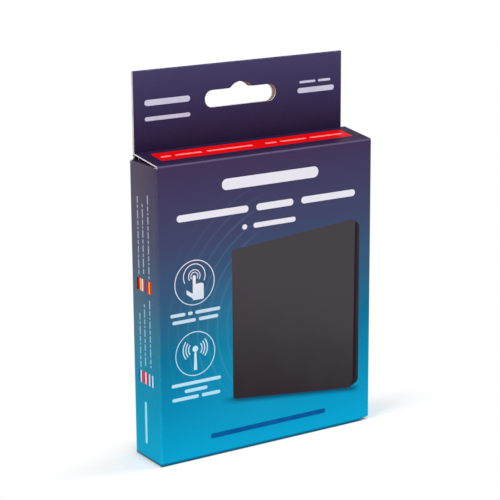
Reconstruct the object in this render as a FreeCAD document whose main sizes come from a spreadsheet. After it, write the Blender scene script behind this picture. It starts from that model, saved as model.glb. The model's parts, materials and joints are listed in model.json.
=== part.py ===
import FreeCAD, Part
import math
import os
import Sketcher

# Hanging retail carton folded from one sheet of board.
# Frame: millimetres, +X to the right, +Y to the back, +Z up, origin under the middle of the base.
# The printed front faces -Y and the hang tab rises from the back panel.

doc = FreeCAD.newDocument("HangingCarton")

# Driving dimensions, one aliased cell each, in millimetres and degrees.
driving = [
    ("carton_width", 95.0),
    ("carton_depth", 19.4),
    ("carton_height", 112.5),
    ("board", 0.45),
    ("corner_radius", 1.2),
    ("seam_radius", 0.2),
    ("tab_width", 91.7),
    ("tab_top", 144.6),
    ("tab_thickness", 1.15),
    ("tab_fold", 0.55),
    ("tab_foot", 113.0),
    ("tab_overlap", 3.0),
    ("slot_width", 31.2),
    ("slot_height", 6.4),
    ("slot_level", 131.5),
    ("slot_end", 3.15),
    ("peak_rise", 2.25),
    ("peak_foot", 9.4),
    ("peak_width", 4.8),
    ("peak_round", 5.2),
    ("peak_fillet", 1.2),
    ("crease_radius", 0.55),
    ("crease_gap", 0.1),
    ("swing_gap", 0.3),
    ("lid_width", 93.6),
    ("lid_lift", 0.1),
    ("lid_angle", 7.0),
    ("fold_radius", 0.9),
    ("tuck_length", 12.4),
    ("tuck_slant", 25.0),
    ("tuck_shoulder", 0.8),
    ("tuck_corner", 5.0),
    ("base_lift", 0.1),
    ("dust_length", 16.0),
    ("dust_bend", 0.75),
    ("dust_slant", 4.0),
    ("dust_base", 0.8),
    ("dust_corner", 4.0),
    ("glue_width", 12.0),
    ("glue_inset", 2.0),
    ("glue_taper", 4.0),
]

sheet = doc.addObject("Spreadsheet::Sheet", "Dimensions")
for row, (alias, number) in enumerate(driving, start=1):
    sheet.set("A%d" % row, alias)
    sheet.set("B%d" % row, str(number))
    sheet.setAlias("B%d" % row, alias)
doc.recompute()


# A length or ratio that carries its number and the same value as an expression on the sheet.
class Size:
    def __init__(self, number, text):
        self.number = number
        self.text = text

    def __add__(self, other):
        other = as_size(other)
        return Size(self.number + other.number, "(%s + %s)" % (self.text, other.text))

    def __sub__(self, other):
        other = as_size(other)
        return Size(self.number - other.number, "(%s - %s)" % (self.text, other.text))

    def __mul__(self, other):
        other = as_size(other)
        return Size(self.number * other.number, "(%s * %s)" % (self.text, other.text))

    def __truediv__(self, other):
        other = as_size(other)
        return Size(self.number / other.number, "(%s / %s)" % (self.text, other.text))

    def __neg__(self):
        return Size(-self.number, "(0 - %s)" % self.text)


def as_size(value):
    if isinstance(value, Size):
        return value
    return Size(float(value), repr(float(value)))


def dim(alias):
    return Size(float(sheet.get(alias)), "Dimensions.%s" % alias)


def sine(angle):
    return Size(math.sin(math.radians(angle.number)), "sin(%s * 1 deg)" % angle.text)


def cosine(angle):
    return Size(math.cos(math.radians(angle.number)), "cos(%s * 1 deg)" % angle.text)


def bind(thing, path, size):
    thing.setExpression(path, as_size(size).text)


# Sketches

def new_body(label):
    body = doc.addObject("PartDesign::Body", label)
    body.Label = label
    return body


def origin_plane(body, role):
    for feature in body.Origin.OriginFeatures:
        if feature.Role == role:
            return feature
    raise ValueError("no origin plane " + role)


def new_sketch(body, name, role, offset=None):
    sketch = body.newObject("Sketcher::SketchObject", name)
    sketch.AttachmentSupport = [(origin_plane(body, role), "")]
    sketch.MapMode = "FlatFace"
    if offset is not None:
        bind(sketch, "AttachmentOffset.Base.z", offset)
    return sketch


def hold(sketch, kind, mark, size):
    # Holds one coordinate of a point at a sheet value.
    if size.number == 0:
        axis = -2 if kind == "DistanceX" else -1
        sketch.addConstraint(Sketcher.Constraint("PointOnObject", mark, 1, axis))
        return
    index = sketch.addConstraint(Sketcher.Constraint(kind, -1, 1, mark, 1, size.number))
    bind(sketch, "Constraints[%d]" % index, size)


def outline(sketch, corners):
    # Closed outline through (across, up, rounding) corners, rounded by tangent arcs.
    corners = [tuple(as_size(value) for value in corner) for corner in corners]
    count = len(corners)
    spots = [FreeCAD.Vector(across.number, up.number, 0) for across, up, rounding in corners]
    marks = []
    for (across, up, rounding), spot in zip(corners, spots):
        mark = sketch.addGeometry(Part.Point(spot), True)
        hold(sketch, "DistanceX", mark, across)
        hold(sketch, "DistanceY", mark, up)
        marks.append(mark)

    ways = [(spots[(i + 1) % count] - spots[i]).normalize() for i in range(count)]
    turns = []
    trims = []
    for i, (across, up, rounding) in enumerate(corners):
        before = ways[i - 1]
        after = ways[i]
        turn = math.atan2(before.cross(after).z, before.dot(after))
        turns.append(turn)
        trims.append(rounding.number * math.tan(abs(turn) / 2))

    sides = []
    for i in range(count):
        following = (i + 1) % count
        start = spots[i] + ways[i] * trims[i]
        end = spots[following] - ways[i] * trims[following]
        side = sketch.addGeometry(Part.LineSegment(start, end))
        sides.append(side)
        for corner, end_number in ((i, 1), (following, 2)):
            if trims[corner] == 0:
                sketch.addConstraint(Sketcher.Constraint("Coincident", side, end_number, marks[corner], 1))
            else:
                sketch.addConstraint(Sketcher.Constraint("PointOnObject", marks[corner], 1, side))

    for i, (across, up, rounding) in enumerate(corners):
        if trims[i] == 0:
            continue
        bend = math.copysign(1, turns[i])
        inward = FreeCAD.Vector(-ways[i].y, ways[i].x, 0) * bend
        middle = spots[i] + ways[i] * trims[i] + inward * rounding.number
        first = spots[i] - ways[i - 1] * trims[i] - middle
        last = spots[i] + ways[i] * trims[i] - middle
        if bend < 0:
            first, last = last, first
        circle = Part.Circle(middle, FreeCAD.Vector(0, 0, 1), rounding.number)
        arc = sketch.addGeometry(
            Part.ArcOfCircle(circle, math.atan2(first.y, first.x), math.atan2(last.y, last.x)))
        arc_in, arc_out = (1, 2) if bend > 0 else (2, 1)
        sketch.addConstraint(Sketcher.Constraint("Tangent", sides[i - 1], 2, arc, arc_in))
        sketch.addConstraint(Sketcher.Constraint("Tangent", arc, arc_out, sides[i], 1))
        index = sketch.addConstraint(Sketcher.Constraint("Radius", arc, rounding.number))
        bind(sketch, "Constraints[%d]" % index, rounding)


def rectangle(sketch, low_across, low_up, high_across, high_up):
    outline(sketch, [
        (low_across, low_up, 0),
        (high_across, low_up, 0),
        (high_across, high_up, 0),
        (low_across, high_up, 0),
    ])


# Features

def pad(body, name, sketch, length, middle=False):
    feature = body.newObject("PartDesign::Pad", name)
    feature.Profile = sketch
    bind(feature, "Length", length)
    feature.Midplane = middle
    doc.recompute()
    return feature


def pocket(body, name, sketch, length):
    # Cuts to both sides of its sketch, and has to take something away.
    before = body.Shape.Volume
    feature = body.newObject("PartDesign::Pocket", name)
    feature.Profile = sketch
    bind(feature, "Length", length)
    feature.Midplane = True
    doc.recompute()
    if body.Shape.Volume >= before:
        raise RuntimeError(name + " cuts nothing")
    return feature


def round_corners(body, name, radius, wanted):
    # Rounds the short edges that run through the board, at the places that wanted picks.
    base = body.Tip
    edges = []
    for number, edge in enumerate(base.Shape.Edges, start=1):
        through_board = abs(edge.Length - board.number) < 0.05 * board.number
        if through_board and wanted(edge.CenterOfMass):
            edges.append("Edge%d" % number)
    if not edges:
        raise RuntimeError(name + " finds no edge")
    feature = body.newObject("PartDesign::Fillet", name)
    feature.Base = (base, edges)
    bind(feature, "Radius", radius)
    doc.recompute()
    return feature


# Values used by more than one piece

board = dim("board")
half_width = dim("carton_width") / 2
half_depth = dim("carton_depth") / 2
height = dim("carton_height")
crease = dim("crease_radius")
crease_gap = dim("crease_gap")
swing_gap = dim("swing_gap")
fold = dim("fold_radius")
slant = dim("tuck_slant")
half_lid = dim("lid_width") / 2

# The lids turn on the creases of the front panel, so both axes lie one radius behind its face.
hinge_back = crease - half_depth
top_hinge_up = height + dim("lid_lift")
base_hinge_up = crease + dim("base_lift")

inner_back = half_depth - board
tab_front = half_depth - dim("tab_thickness")
top_reach = tab_front - swing_gap - hinge_back
base_reach = inner_back - board - swing_gap - hinge_back


def flap_room(reach):
    # Where a dust flap has to end so that the tuck flap can slide past behind it.
    chord = (reach - fold) * cosine(slant) + (fold - crease) * sine(slant) + fold
    return hinge_back + chord - board - swing_gap


# Carton body: sleeve, hang tab, dust flaps and glue flap

carton = new_body("carton_body")

sleeve_sketch = new_sketch(carton, "sleeve_section", "XY_Plane")
corner = dim("corner_radius")
outline(sleeve_sketch, [
    (-half_width, -half_depth, corner),
    (half_width, -half_depth, corner),
    (half_width, half_depth, dim("seam_radius")),
    (-half_width, half_depth, corner),
])
inner_width = half_width - board
inner_corner = corner - board
outline(sleeve_sketch, [
    (-inner_width, -inner_back, inner_corner),
    (inner_width, -inner_back, inner_corner),
    (inner_width, inner_back, inner_corner),
    (-inner_width, inner_back, inner_corner),
])
pad(carton, "sleeve", sleeve_sketch, height)

# The front panel stops short of the two creases that carry the lids.
room_front = -half_depth - swing_gap
room_back = hinge_back + crease + swing_gap
room_width = dim("lid_width") + swing_gap

top_room_sketch = new_sketch(carton, "top_crease_section", "YZ_Plane")
rectangle(top_room_sketch, room_front, top_hinge_up - crease - crease_gap, room_back, height + board)
pocket(carton, "top_crease_room", top_room_sketch, room_width)

base_room_sketch = new_sketch(carton, "base_crease_section", "YZ_Plane")
rectangle(base_room_sketch, room_front, -board, room_back, base_hinge_up + crease + crease_gap)
pocket(carton, "base_crease_room", base_room_sketch, room_width)

# Hang tab: the back panel runs up, turns over forwards and comes down as a second layer.
tab_top = dim("tab_top")
tab_fold = dim("tab_fold")
tab_sketch = new_sketch(carton, "tab_section", "YZ_Plane")
outline(tab_sketch, [
    (half_depth, height - dim("tab_overlap"), 0),
    (half_depth, tab_top, tab_fold),
    (tab_front, tab_top, tab_fold),
    (tab_front, dim("tab_foot"), 0),
    (tab_front + board, dim("tab_foot"), 0),
    (tab_front + board, tab_top - board, tab_fold - board),
    (inner_back, tab_top - board, tab_fold - board),
    (inner_back, height - dim("tab_overlap"), 0),
])
pad(carton, "hang_tab", tab_sketch, dim("tab_width"), middle=True)

# Hang slot with a raised middle, through both layers of the tab.
half_slot = dim("slot_width") / 2
slot_low = dim("slot_level") - dim("slot_height") / 2
slot_high = dim("slot_level") + dim("slot_height") / 2
peak_top = slot_high + dim("peak_rise")
slot_sketch = new_sketch(carton, "slot_outline", "XZ_Plane")
outline(slot_sketch, [
    (-half_slot, slot_low, dim("slot_end")),
    (half_slot, slot_low, dim("slot_end")),
    (half_slot, slot_high, dim("slot_end")),
    (dim("peak_foot") / 2, slot_high, dim("peak_fillet")),
    (dim("peak_width") / 2, peak_top, dim("peak_round")),
    (-dim("peak_width") / 2, peak_top, dim("peak_round")),
    (-dim("peak_foot") / 2, slot_high, dim("peak_fillet")),
    (-half_slot, slot_high, dim("slot_end")),
])
pocket(carton, "hang_slot", slot_sketch, dim("carton_depth") + board)

# Dust flaps bend inwards from the side panels, under the top lid and over the base lid.
dust_front = room_back
dust_bend = dim("dust_bend")
dust_end = dim("dust_length") - half_width
dust_drop = (dim("dust_length") - board) * sine(dim("dust_slant")) / cosine(dim("dust_slant"))


def dust_flap(name, level, inwards, dust_back):
    # level is the outside of the bend, and inwards is +1 where the carton lies above it.
    room_sketch = new_sketch(carton, name + "_bend_section", "YZ_Plane")
    bend_start = level + dust_bend * inwards
    past_end = level - (board + dim("dust_base")) * inwards
    low, high = (past_end, bend_start) if inwards > 0 else (bend_start, past_end)
    rectangle(room_sketch, dust_front, low, dust_back, high)
    pocket(carton, name + "_bend_room", room_sketch, dim("carton_width") + board)

    flap_sketch = new_sketch(carton, name + "_section", "XZ_Plane", -dust_back)
    root = level + dust_bend * (2 * inwards)
    tip = level + dust_drop * inwards
    corners = [
        (-half_width, root, 0),
        (-half_width, level, dust_bend),
        (dust_end, tip, 0),
        (dust_end, tip + board * inwards, 0),
        (-inner_width, level + board * inwards, dust_bend - board),
        (-inner_width, root, 0),
    ]
    outline(flap_sketch, corners if inwards > 0 else corners[::-1])
    return pad(carton, name, flap_sketch, dust_back - dust_front)


top_dust = dust_flap("top_dust_flap", height, -1, flap_room(top_reach))
base_dust = dust_flap("base_dust_flap", dim("dust_base"), 1, flap_room(base_reach))

dust_pair = carton.newObject("PartDesign::Mirrored", "dust_flap_pairs")
dust_pair.Originals = [top_dust, base_dust]
dust_pair.MirrorPlane = (origin_plane(carton, "YZ_Plane"), [""])
carton.Tip = dust_pair
doc.recompute()

# Glue flap: the right side panel runs on inside the back panel, with tapered ends.
glue_low = dim("dust_base") + dust_bend + dim("glue_inset")
glue_high = height - dust_bend - dim("glue_inset")
glue_taper = dim("glue_taper")
glue_sketch = new_sketch(carton, "glue_outline", "XZ_Plane", -inner_back)
outline(glue_sketch, [
    (inner_width - dim("glue_width"), glue_low + glue_taper, 0),
    (inner_width, glue_low, 0),
    (inner_width, glue_high, 0),
    (inner_width - dim("glue_width"), glue_high - glue_taper, 0),
])
pad(carton, "glue_flap", glue_sketch, board)


def at_dust_tip(spot):
    return abs(abs(spot.x) + dust_end.number) < board.number


round_corners(carton, "dust_corners", dim("dust_corner"), at_dust_tip)


# Lids: a panel on a crease, with a tuck flap bent in beyond a right angle

def tuck_lid(label, reach):
    # The crease lies along X through the body's own origin and the panel runs towards +Y.
    lid = new_body(label)
    bend = (sine(slant) + 1) / cosine(slant)
    outer_corner = reach - fold + fold * bend
    inner_corner_back = reach - fold + (fold - board) * bend
    tip_back = outer_corner - dim("tuck_length") * sine(slant)
    tip_up = crease - dim("tuck_length") * cosine(slant)
    panel_sketch = new_sketch(lid, label + "_section", "YZ_Plane")
    outline(panel_sketch, [
        (0, crease, 0),
        (0, crease - board, 0),
        (inner_corner_back, crease - board, fold - board),
        (tip_back - board * cosine(slant), tip_up + board * sine(slant), 0),
        (tip_back, tip_up, 0),
        (outer_corner, crease, fold),
    ])
    pad(lid, label + "_panel", panel_sketch, dim("lid_width"), middle=True)

    roll_sketch = new_sketch(lid, label + "_crease_section", "YZ_Plane")
    ring = sketch_circle(roll_sketch, crease)
    pad(lid, label + "_crease", ring, dim("lid_width"), middle=True)

    # Shoulders make the tuck flap a little narrower than the panel.
    shoulder_sketch = new_sketch(lid, label + "_shoulder_outline", "XZ_Plane")
    shoulder = half_lid - dim("tuck_shoulder")
    beyond = half_lid + dim("tuck_shoulder")
    below = -dim("tuck_length") - fold
    rectangle(shoulder_sketch, shoulder, below, beyond, -fold)
    rectangle(shoulder_sketch, -beyond, below, -shoulder, -fold)
    pocket(lid, label + "_shoulders", shoulder_sketch, (reach + fold) * 2)

    def at_tuck_tip(spot):
        return spot.z < tip_up.number + board.number

    round_corners(lid, label + "_corners", dim("tuck_corner"), at_tuck_tip)
    return lid


def sketch_circle(sketch, radius):
    circle = Part.Circle(FreeCAD.Vector(0, 0, 0), FreeCAD.Vector(0, 0, 1), radius.number)
    ring = sketch.addGeometry(circle)
    sketch.addConstraint(Sketcher.Constraint("Coincident", ring, 3, -1, 1))
    index = sketch.addConstraint(Sketcher.Constraint("Radius", ring, radius.number))
    bind(sketch, "Constraints[%d]" % index, radius)
    return sketch


def place(body, up, axis, angle):
    body.Placement = FreeCAD.Placement(
        FreeCAD.Vector(0, hinge_back.number, up.number), FreeCAD.Rotation(axis, angle.number))
    bind(body, "Placement.Base.y", hinge_back)
    bind(body, "Placement.Base.z", up)
    bind(body, "Placement.Rotation.Angle", angle)


# The top lid stands a little open at the back, and the base lid is the same shape turned over.
top_lid = tuck_lid("top_lid", top_reach)
place(top_lid, top_hinge_up, FreeCAD.Vector(1, 0, 0), dim("lid_angle"))
base_lid = tuck_lid("base_lid", base_reach)
place(base_lid, base_hinge_up, FreeCAD.Vector(0, 1, 0), as_size(180))

# Check and write

doc.recompute()
for item in doc.Objects:
    if "Invalid" in item.State or "Error" in item.State:
        raise RuntimeError("%s failed: %s" % (item.Label, item.State))

os.makedirs("parts", exist_ok=True)
for body in (carton, top_lid, base_lid):
    shape = body.Shape
    if shape.isNull() or not shape.isValid() or len(shape.Solids) != 1:
        raise RuntimeError(body.Label + " is not one valid solid")
    shape.exportStep("parts/%s.step" % body.Label)
    box = shape.BoundBox
    print("%s %.1f mm3, x %.2f to %.2f, y %.2f to %.2f, z %.2f to %.2f" % (
        body.Label, shape.Volume, box.XMin, box.XMax, box.YMin, box.YMax, box.ZMin, box.ZMax))
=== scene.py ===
import json
import math

import bmesh
import bpy
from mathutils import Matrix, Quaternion, Vector


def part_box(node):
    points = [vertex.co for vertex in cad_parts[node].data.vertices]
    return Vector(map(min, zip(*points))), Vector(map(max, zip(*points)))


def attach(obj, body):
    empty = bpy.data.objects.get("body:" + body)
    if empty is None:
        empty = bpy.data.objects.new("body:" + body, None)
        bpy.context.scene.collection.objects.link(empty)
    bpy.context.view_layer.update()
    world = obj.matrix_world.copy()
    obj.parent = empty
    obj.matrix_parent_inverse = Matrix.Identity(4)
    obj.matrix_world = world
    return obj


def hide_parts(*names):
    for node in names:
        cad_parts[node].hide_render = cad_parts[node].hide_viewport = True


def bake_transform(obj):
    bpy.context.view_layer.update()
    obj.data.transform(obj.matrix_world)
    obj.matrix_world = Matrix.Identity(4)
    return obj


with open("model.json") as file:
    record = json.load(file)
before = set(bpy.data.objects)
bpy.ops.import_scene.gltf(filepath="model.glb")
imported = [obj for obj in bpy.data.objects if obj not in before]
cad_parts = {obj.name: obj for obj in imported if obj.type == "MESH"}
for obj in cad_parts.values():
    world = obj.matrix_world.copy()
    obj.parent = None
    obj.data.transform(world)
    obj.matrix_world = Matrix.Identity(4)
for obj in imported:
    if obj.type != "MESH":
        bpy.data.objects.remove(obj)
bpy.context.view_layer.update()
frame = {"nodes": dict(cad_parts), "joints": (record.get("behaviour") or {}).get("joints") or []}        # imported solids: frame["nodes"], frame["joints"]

mm = 0.001  # every size below is in millimetres
skin = 0.03  # board faces lie this far inside the solids, so the ink on them stays inside too
hair = 0.01  # places closer than this count as one
smoothAngle = 35.0
board = {"thick": 0.45, "inkThick": 0.02, "inkSunk": 0.01, "weld": 0.002}

bodyLow, bodyHigh = [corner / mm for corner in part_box("carton_body")]
hinges = {joint["name"]: Vector(joint["pos_m"]) / mm for joint in frame["joints"]}
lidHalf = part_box("top_lid")[1].x / mm
print("frame loaded with", ", ".join(sorted(frame["nodes"])))


# Modelling by hand, in millimetres

def deselectAll():
    if bpy.context.mode != "OBJECT":
        bpy.ops.object.mode_set(mode="OBJECT")
    bpy.ops.object.select_all(action="DESELECT")


def inMetres(*place):
    return tuple(value * mm for value in place)


def pick(kind, wanted, among=False):
    # selects the corners, edges or faces whose middle passes the test, or only those already selected
    mesh = bmesh.from_edit_mesh(bpy.context.object.data)
    parts = {"VERT": mesh.verts, "EDGE": mesh.edges, "FACE": mesh.faces}[kind]
    chosen = []
    for part in parts:
        corners = [part] if kind == "VERT" else part.verts
        middle = sum((corner.co for corner in corners), Vector()) / len(corners) / mm
        if not part.hide and (part.select or not among) and wanted(middle):
            chosen.append(part)
    bpy.ops.mesh.select_mode(type=kind)
    bpy.ops.mesh.select_all(action="DESELECT")
    for part in chosen:
        part.select_set(True)
    mesh.select_flush_mode()
    bmesh.update_edit_mesh(bpy.context.object.data)


def extrudeBy(x, y, z):
    bpy.ops.mesh.extrude_region_move(TRANSFORM_OT_translate={"value": inMetres(x, y, z)})


def moveBy(x, y, z):
    bpy.ops.transform.translate(value=inMetres(x, y, z))


def selectAll():
    bpy.ops.mesh.select_all(action="SELECT")


def roundCorners(radius, segments=6):
    bpy.ops.mesh.bevel(offset=radius * mm, segments=segments, affect="VERTICES")


def mergeFlat():
    # takes away lines that lie within a flat face, or corners along a straight line
    selectAll()
    bpy.ops.mesh.dissolve_limited(angle_limit=math.radians(1))


def foldRound(middle, axis, angle, steps):
    # carries the picked edge round a crease, where spin itself counts its angle the other way
    bpy.ops.mesh.spin(steps=steps, angle=-math.radians(angle), center=inMetres(*middle), axis=axis)


def cutAcross(place, normal):
    # adds a line across all that shows, square to the normal
    selectAll()
    bpy.ops.mesh.bisect(plane_co=inMetres(*place), plane_no=normal)


def cutBothSides(across):
    for place in (across, -across):
        cutAcross((place, 0, 0), (1, 0, 0))


def inRadians(turn):
    return [math.radians(angle) for angle in turn]


def namePiece(name):
    piece = bpy.context.object
    piece.name = name
    piece.data.name = name
    return piece


def startSheet(name, middle, size, turn):
    # a plane of the given size, placed and open for editing
    deselectAll()
    bpy.ops.mesh.primitive_plane_add(size=1, location=inMetres(*middle), rotation=inRadians(turn))
    piece = namePiece(name)
    piece.scale = (size[0] * mm, size[1] * mm, 1)
    bpy.ops.object.transform_apply(location=True, rotation=True, scale=True)
    bpy.ops.object.mode_set(mode="EDIT")
    return piece


def thicken(piece, thick, reverse=0, rim=0):
    # gives a sheet its board, behind the face that is drawn
    bpy.ops.object.mode_set(mode="OBJECT")
    bpy.ops.object.modifier_add(type="SOLIDIFY")
    wall = piece.modifiers[-1]
    wall.thickness = thick * mm
    wall.offset = -1
    wall.use_even_offset = True
    wall.material_offset = reverse
    wall.material_offset_rim = rim
    bpy.ops.object.modifier_apply(modifier=wall.name)


# Node helpers for the finishes: a value is a number, or a socket of the finish in hand

def isSocket(value):
    return isinstance(value, bpy.types.NodeSocket)


def newNode(kind, *values):
    # in the tree that the values come from
    tree = next(value.id_data for value in values if isSocket(value))
    return tree.nodes.new(kind)


def wire(value, socket):
    if isSocket(value):
        socket.id_data.links.new(value, socket)
    else:
        socket.default_value = value


def calc(operation, *values):
    node = newNode("ShaderNodeMath", *values)
    node.operation = operation
    for value, socket in zip(values, node.inputs):
        wire(value, socket)
    return node.outputs[0]


def product(first, *others):
    for other in others:
        first = calc("MULTIPLY", first, other)
    return first


def fade(value, start, end, low=0.0, high=1.0):
    # runs smoothly from low at start to high at end
    node = newNode("ShaderNodeMapRange", value)
    node.interpolation_type = "SMOOTHSTEP"
    for setting, socket in zip((value, start, end, low, high), node.inputs):
        wire(setting, socket)
    return node.outputs[0]


def inkColour(*screen):
    # red, green and blue from 0 to 255, as the shader wants them
    parts = [value / 255 for value in screen]
    return tuple(p / 12.92 if p <= 0.04045 else ((p + 0.055) / 1.055) ** 2.4 for p in parts) + (1.0,)


def mixColours(share, *colours):
    # mixes two colours, each a socket or three screen values
    node = newNode("ShaderNodeMix", share)
    node.data_type = "RGBA"
    wire(share, node.inputs[0])
    for colour, socket in zip(colours, node.inputs[6:8]):
        wire(colour if isSocket(colour) else inkColour(*colour), socket)
    return node.outputs[2]


def speckle(place, spots, detail=3.0):
    # a noise with so many spots to the millimetre
    node = newNode("ShaderNodeTexNoise", place)
    node.inputs["Scale"].default_value = spots
    node.inputs["Detail"].default_value = detail
    wire(place, node.inputs["Vector"])
    return node.outputs["Fac"]


def blendSpeckle(coarse, fine, fineShare):
    return calc("ADD", product(coarse, 1 - fineShare), product(fine, fineShare))


def wander(pattern, reach):
    # a noise about zero, for moving a fade to and fro
    return product(calc("SUBTRACT", pattern, 0.5), reach)


def gradient(height, stops):
    # colours by height, from the foot to the last stop
    top = stops[-1][0]
    node = newNode("ShaderNodeValToRGB", height)
    ramp = node.color_ramp
    while len(ramp.elements) < len(stops):
        ramp.elements.new(0.5)
    for element, (level, colour) in zip(ramp.elements, stops):
        element.position = level / top
        element.color = inkColour(*colour)
    wire(calc("DIVIDE", height, top), node.inputs["Fac"])
    return node.outputs["Color"]


def newFinish(name, specular):
    # a finish, its shader and the place on the piece in millimetres
    finish = bpy.data.materials.new(name)
    finish.use_nodes = True
    nodes = finish.node_tree.nodes
    shader = nodes["Principled BSDF"]
    shader.inputs["Specular IOR Level"].default_value = specular
    place = nodes.new("ShaderNodeVectorMath")
    place.operation = "SCALE"
    place.inputs["Scale"].default_value = 1 / mm
    wire(nodes.new("ShaderNodeTexCoord").outputs["Object"], place.inputs[0])
    return finish, shader, place.outputs[0]


def splitAxes(place):
    node = newNode("ShaderNodeSeparateXYZ", place)
    wire(place, node.inputs[0])
    return node.outputs


def dress(shader, colour, gloss, relief, look):
    # colour, a gloss that varies with one pattern and a relief that follows another
    wire(colour, shader.inputs["Base Color"])
    wire(fade(gloss, 0.3, 0.7, *look["roughness"]), shader.inputs["Roughness"])  # most noise lies between
    depth, strength = look["bump"]
    node = newNode("ShaderNodeBump", relief)
    node.inputs["Strength"].default_value = strength
    node.inputs["Distance"].default_value = depth * mm
    wire(relief, node.inputs["Height"])
    wire(node.outputs[0], shader.inputs["Normal"])


# Finishes of the board: printed face, bare reverse and cut edge

boardPrint = {
    "fade": [  # height on the carton, and the ink there
        (0.0, (0, 168, 213)),
        (24.0, (0, 138, 180)),
        (44.0, (8, 112, 148)),
        (62.0, (48, 91, 126)),
        (84.0, (63, 70, 104)),
        (112.4, (65, 50, 85)),
        (113.3, (41, 27, 59)),
        (117.0, (43, 31, 64)),
        (127.0, (54, 44, 80)),
        (144.5, (67, 61, 98)),
    ],
    "lean": 0.04,  # the fade runs a little down to the right
    "leanEnds": (112.0, 108.0),  # and stands level on the lid and the tab
    "drift": {"spots": 0.02, "reach": 2.0},
    "frontFrom": (0.6, 0.2),  # depths inside the box at which the front and the left side begin
    "leftFrom": (0.9, 0.3),
    "glow": {
        "middle": (-5.0, 38.0),
        "reach": (42.0, 44.0),
        "ends": (1.0, 0.25),
        "share": 0.18,
        "ink": (30, 176, 212),
    },
    "rings": {  # faint, round the picture on the front
        "middle": (12.0, 48.0),
        "step": 4.2,
        "crest": (0.6, 1.0),
        "start": (26.0, 34.0),
        "end": (64.0, 42.0),
        "across": (2.0, -14.0),
        "heights": (20.0, 34.0),
        "share": 0.07,
        "ink": (120, 190, 215),
    },
    "shadow": {  # soft, under the lower edge of the picture
        "level": 19.0,
        "slope": -0.108,
        "left": (-22.5, -12.5),
        "right": (44.0, 38.0),
        "below": (2.5, -0.3),
        "above": (-1.9, 0.4),
        "share": 0.85,
        "ink": (0, 44, 72),
    },
    "paintedSheen": {  # painted sheen on the left side, more of it towards the back
        "frontPart": 0.5,
        "inset": (2.0, 1.0),
        "heights": (22.0, 54.0),
        "share": 0.14,
        "ink": (168, 164, 130),
    },
    "tint": {"heights": (82.0, 18.0), "share": 0.15, "ink": (0, 190, 210)},  # on the left side, bluer towards the foot, painted to offset reflected light there
    # painted shade on the rounded upright corner between the left side and the front
    "corner": {"from": (1.3, 0.5), "heights": (30.0, 80.0), "share": 0.2, "ink": (24, 14, 40)},
    "crease": {  # stretched ink and a painted highlight over the front's top crease
        "start": (112.25, 112.6),
        "end": (113.1, 112.9),
        "share": 0.16,
        "ink": (188, 178, 216),
    },
    # painted shade low along the foot, where the carton meets the floor
    "foot": {"heights": (1.7, 0.7), "share": 0.85, "ink": (0, 74, 104)},
    "grain": {"spots": 2.5, "ends": (0.3, 0.8), "share": 0.012, "ink": (196, 188, 204)},
    "wear": {  # rubbed specks on the tab's top fold, and a few on the upright corners
        "spots": 0.9,
        "ends": (0.5, 0.68),
        "tabFrom": (0.5, 0.1),
        "cornerFrom": (1.05, 0.65),
        "cornerPart": 0.08,
        "share": 0.34,
        "ink": (186, 182, 190),
    },
    "specular": 0.013,
    "glossSpots": 0.3,
    "roughness": (0.30, 0.42),
    "swellSpots": 0.06,
    "grainRelief": 0.05,
    "bump": (0.03, 0.12),  # depth and strength, here and in each finish below
}


def nearFace(value, face, depths):
    # 1 on a face of the box, fading away between two depths inside it
    start, end = [face - math.copysign(depth, face) for depth in depths]
    return fade(value, start, end)


def ringSpread(first, second, middle, reach=(1.0, 1.0)):
    # how far a place lies from a middle along two axes, measured by the reach along each
    ways = [calc("DIVIDE", calc("SUBTRACT", axis, zero), unit)
            for axis, zero, unit in zip((first, second), middle, reach)]
    return calc("SQRT", calc("ADD", *[calc("POWER", way, 2.0) for way in ways]))


def printFade(place, x, z):
    look = boardPrint
    drift = wander(speckle(place, look["drift"]["spots"]), look["drift"]["reach"])
    lean = calc("SUBTRACT", drift, product(x, look["lean"]))
    lean = product(lean, fade(z, *look["leanEnds"]))
    return gradient(calc("ADD", z, lean), look["fade"])


def printRings(x, z):
    rings = boardPrint["rings"]
    spread = ringSpread(x, z, rings["middle"])
    waves = calc("SINE", product(spread, 2 * math.pi / rings["step"]))
    return product(fade(waves, *rings["crest"]), fade(spread, *rings["start"]),
                   fade(spread, *rings["end"]), fade(x, *rings["across"]),
                   fade(z, *rings["heights"]))


def printShadow(x, z):
    shadow = boardPrint["shadow"]
    edge = calc("ADD", product(x, shadow["slope"]), shadow["level"])
    below = calc("SUBTRACT", edge, z)
    return product(fade(below, *shadow["below"]), fade(below, *shadow["above"]),
                   fade(x, *shadow["left"]), fade(x, *shadow["right"]))


def edgeWear(place, x, y, z):
    wear = boardPrint["wear"]
    across, depth = [calc("ABSOLUTE", axis) for axis in (x, y)]
    corners = product(nearFace(across, bodyHigh.x, wear["cornerFrom"]),
                      nearFace(depth, bodyHigh.y, wear["cornerFrom"]), wear["cornerPart"])
    edges = calc("MAXIMUM", nearFace(z, bodyHigh.z, wear["tabFrom"]), corners)
    specks = speckle(place, wear["spots"], detail=4.0)
    return product(edges, fade(specks, *wear["ends"]))


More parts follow.
